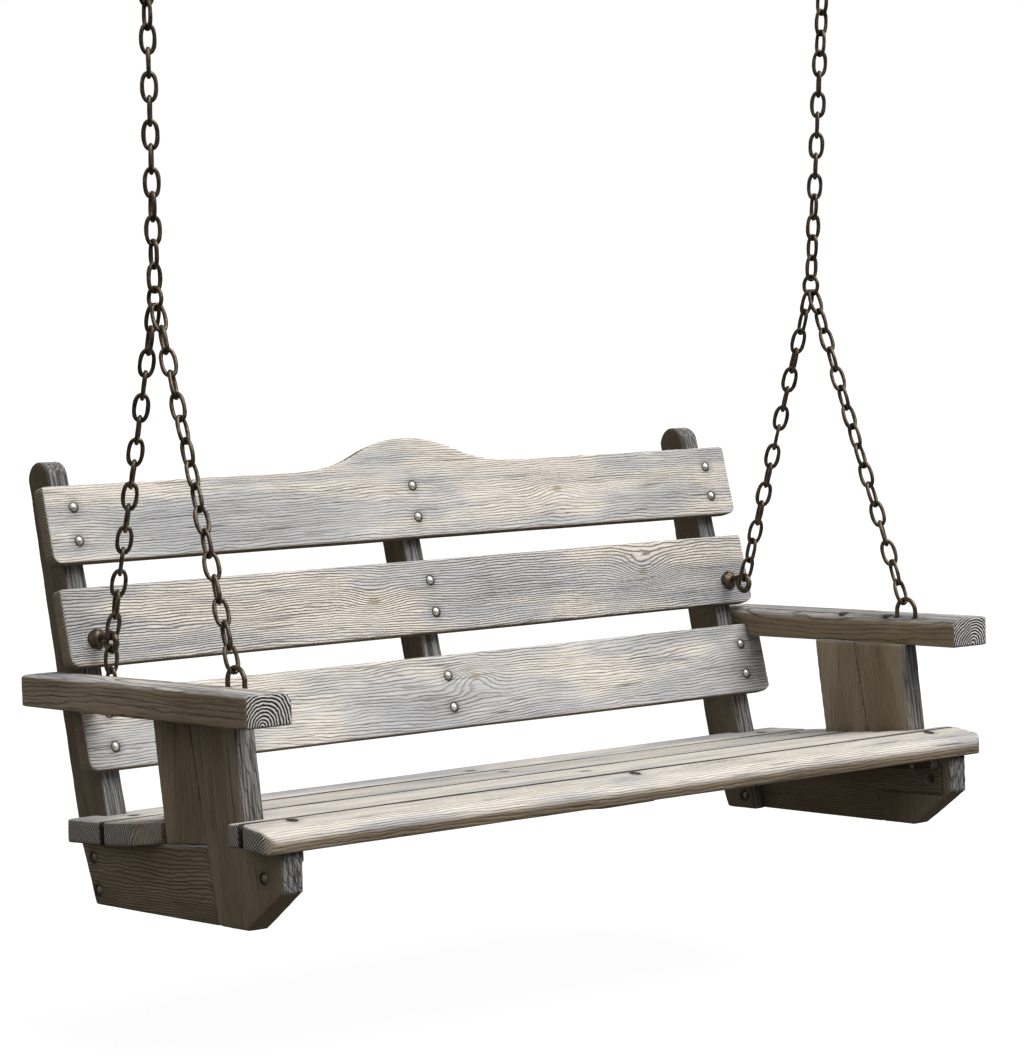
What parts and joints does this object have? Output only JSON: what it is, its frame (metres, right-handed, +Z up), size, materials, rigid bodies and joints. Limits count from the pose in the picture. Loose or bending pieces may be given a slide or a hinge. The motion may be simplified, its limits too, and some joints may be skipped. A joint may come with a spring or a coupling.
{
  "type": "porch swing",
  "caption": "Two-seat hanging bench of weathered boards with a crowned slatted back, flat arms and four chain legs gathered on two rings below ceiling hooks.",
  "frame": {"origin": "on the ceiling plane, half way between the two ceiling hooks' shanks", "axes": "+Z up along the hooks' shanks, +X along the bench towards its right-hand end as seen from the front, the seat faces -Y"},
  "size_m": [1.626, 0.744, 1.6249],
  "materials": {
    "back_wood": "weathered, silver grey with warm streaks",
    "seat_wood": "weathered, sun bleached",
    "frame_wood": "weathered, grey brown",
    "chain_iron": "dark, lightly rusted",
    "zinc_steel": "dull zinc",
    "dark_steel": "tarnished"
  },
  "bodies": {
    "ceiling_hooks": {"left_ceiling_hook": "chain_iron", "right_ceiling_hook": "chain_iron"},
    "left_first_link": {"left_top_link": "chain_iron"},
    "right_first_link": {"right_top_link": "chain_iron"},
    "left_chain": {"left_upper_chain": "chain_iron"},
    "right_chain": {"right_upper_chain": "chain_iron"},
    "left_last_link": {"left_bottom_link": "chain_iron"},
    "right_last_link": {"right_bottom_link": "chain_iron"},
    "loose_tail": {"left_chain_tail": "chain_iron"},
    "bench": {"left_junction_ring": "chain_iron", "right_junction_ring": "chain_iron", "left_front_chain": "chain_iron", "left_rear_chain": "chain_iron", "right_front_chain": "chain_iron", "right_rear_chain": "chain_iron", "left_arm_u_bolt": "chain_iron", "right_arm_u_bolt": "chain_iron", "u_bolt_washers": "zinc_steel", "u_bolt_nuts": "zinc_steel", "left_back_eye_bolt": "chain_iron", "right_back_eye_bolt": "chain_iron", "eye_bolt_bosses": "chain_iron", "eye_bolt_washers": "zinc_steel", "eye_bolt_nuts": "zinc_steel", "top_back_board": "back_wood", "middle_back_board": "back_wood", "bottom_back_board": "back_wood", "left_back_post": "frame_wood", "right_back_post": "frame_wood", "centre_back_post": "frame_wood", "back_bolts": "zinc_steel", "back_bolt_washers": "zinc_steel", "back_bolt_nuts": "zinc_steel", "seat_board_1_rear": "seat_wood", "seat_board_2": "seat_wood", "seat_board_3": "seat_wood", "seat_board_4_front": "seat_wood", "left_seat_cleat": "frame_wood", "right_seat_cleat": "frame_wood", "centre_seat_batten": "frame_wood", "seat_screws": "dark_steel", "cleat_screws": "dark_steel", "left_side_rail": "frame_wood", "right_side_rail": "frame_wood", "left_rear_upright": "frame_wood", "right_rear_upright": "frame_wood", "left_front_upright": "frame_wood", "right_front_upright": "frame_wood", "upright_dowels": "frame_wood", "left_arm": "seat_wood", "right_arm": "seat_wood", "arm_screws": "dark_steel", "arm_post_screws": "dark_steel", "frame_bolts": "dark_steel", "frame_bolt_washers": "dark_steel", "frame_bolt_nuts": "dark_steel"}
  },
  "joints": [
    {"name": "swing", "type": "hinge", "parent": "ceiling_hooks", "child": "left_first_link", "pos_m": [-0.74, 0, -0.053], "axis": [1, 0, 0], "range_deg": [-25, 25]},
    {"name": "right_swing", "type": "hinge", "parent": "ceiling_hooks", "child": "right_first_link", "pos_m": [0.74, 0, -0.053], "axis": [1, 0, 0], "range_deg": [-25, 25]},
    {"name": "sway", "type": "hinge", "parent": "left_first_link", "child": "left_chain", "pos_m": [-0.73886, 0, -0.08808], "axis": [0, 1, 0], "range_deg": [-5, 5]},
    {"name": "right_sway", "type": "hinge", "parent": "right_first_link", "child": "right_chain", "pos_m": [0.73886, 0, -0.08808], "axis": [0, 1, 0], "range_deg": [-5, 5]},
    {"name": "left_level", "type": "hinge", "parent": "left_chain", "child": "left_last_link", "pos_m": [-0.72452, 0, -0.53065], "axis": [0, 1, 0], "range_deg": [-6, 6]},
    {"name": "right_level", "type": "hinge", "parent": "right_chain", "child": "right_last_link", "pos_m": [0.72452, 0, -0.53065], "axis": [0, 1, 0], "range_deg": [-6, 6]},
    {"name": "tilt", "type": "hinge", "parent": "left_last_link", "child": "bench", "pos_m": [-0.72333, 0, -0.56753], "axis": [1, 0, 0], "range_deg": [-10, 10]},
    {"name": "tail_swing", "type": "hinge", "parent": "bench", "child": "loose_tail", "pos_m": [-0.707, 0.14638, -1.13448], "axis": [1, 0, 0], "range_deg": [-15, 3]}
  ],
  "couplings": [
    {"joint": "right_swing", "follows": "swing", "ratio": 1},
    {"joint": "right_sway", "follows": "sway", "ratio": 1},
    {"joint": "left_level", "follows": "sway", "ratio": -1.0198},
    {"joint": "right_level", "follows": "sway", "ratio": -1.0198}
  ]
}
